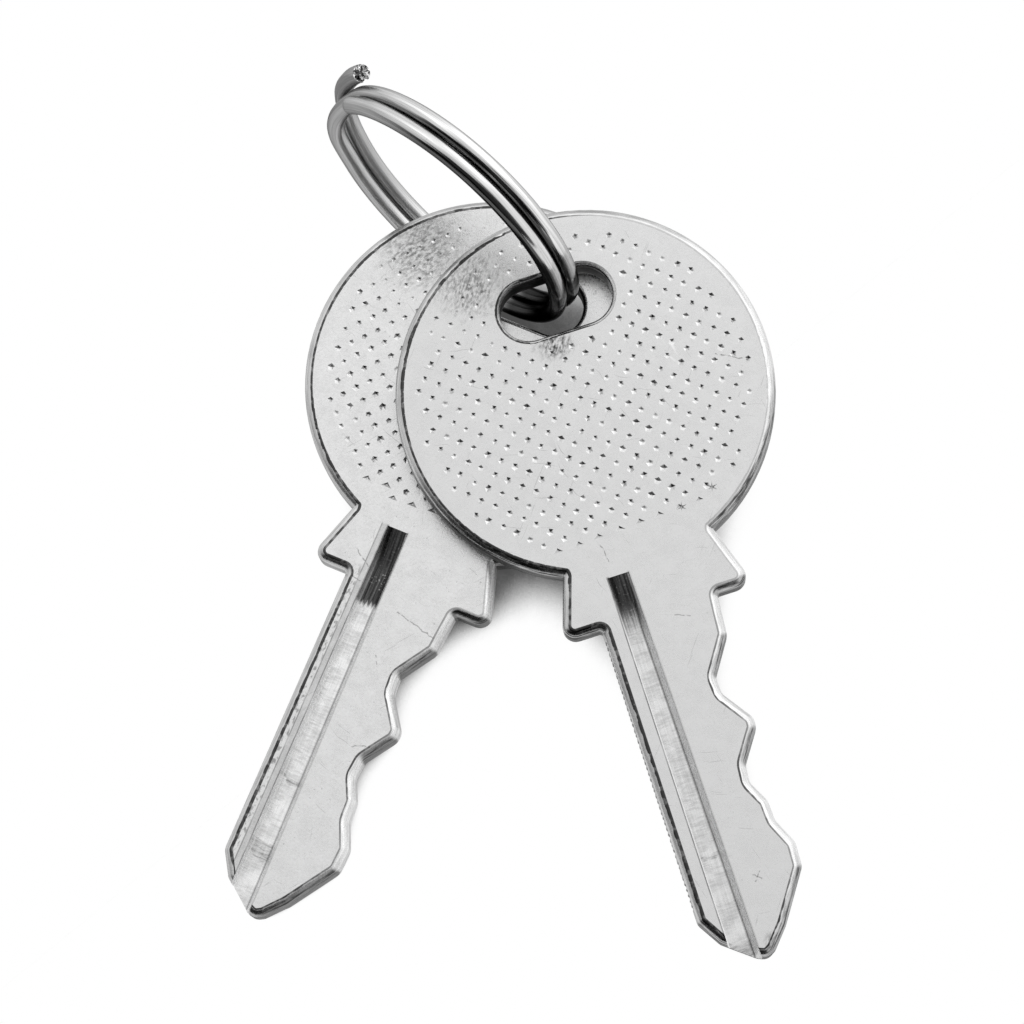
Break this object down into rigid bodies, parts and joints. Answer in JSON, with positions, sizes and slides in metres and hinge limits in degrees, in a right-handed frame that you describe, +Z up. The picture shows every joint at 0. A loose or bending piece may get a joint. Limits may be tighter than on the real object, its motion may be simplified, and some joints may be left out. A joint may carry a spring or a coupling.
{
  "type": "key pair on split ring",
  "caption": "Flat cabinet keys with round dimpled bows, milled blade grooves and cut edges, hung through slotted eyes on a split wire ring.",
  "frame": {"origin": "on the table, under the middle of the whole bundle's bounding box", "axes": "+X from the back key's tip towards the front key's tip, +Y from the tips towards the bows and the ring, +Z up from the table"},
  "size_m": [0.0362, 0.0526, 0.0197],
  "materials": {
    "ring_wire": "bright drawn nickel-plated steel wire with fine streaks along it",
    "key_plate": "satin nickel plate with a fine grain, hairline scratches and brighter milled grooves"
  },
  "bodies": {
    "ring": {"split_ring": "ring_wire"},
    "front_key": {"key_front": "key_plate"},
    "back_key": {"key_back": "key_plate"}
  },
  "joints": [
    {"name": "front_key_swing", "type": "hinge", "parent": "ring", "child": "front_key", "pos_m": [0.00039, 0.01403, 0.00718], "axis": [0.0744, -0.1201, 0.99], "range_deg": [-110, 180]},
    {"name": "back_key_swing", "type": "hinge", "parent": "ring", "child": "back_key", "pos_m": [-0.00055, 0.01452, 0.00489], "axis": [0.0744, -0.1201, 0.99], "range_deg": [-40, 215]}
  ]
}
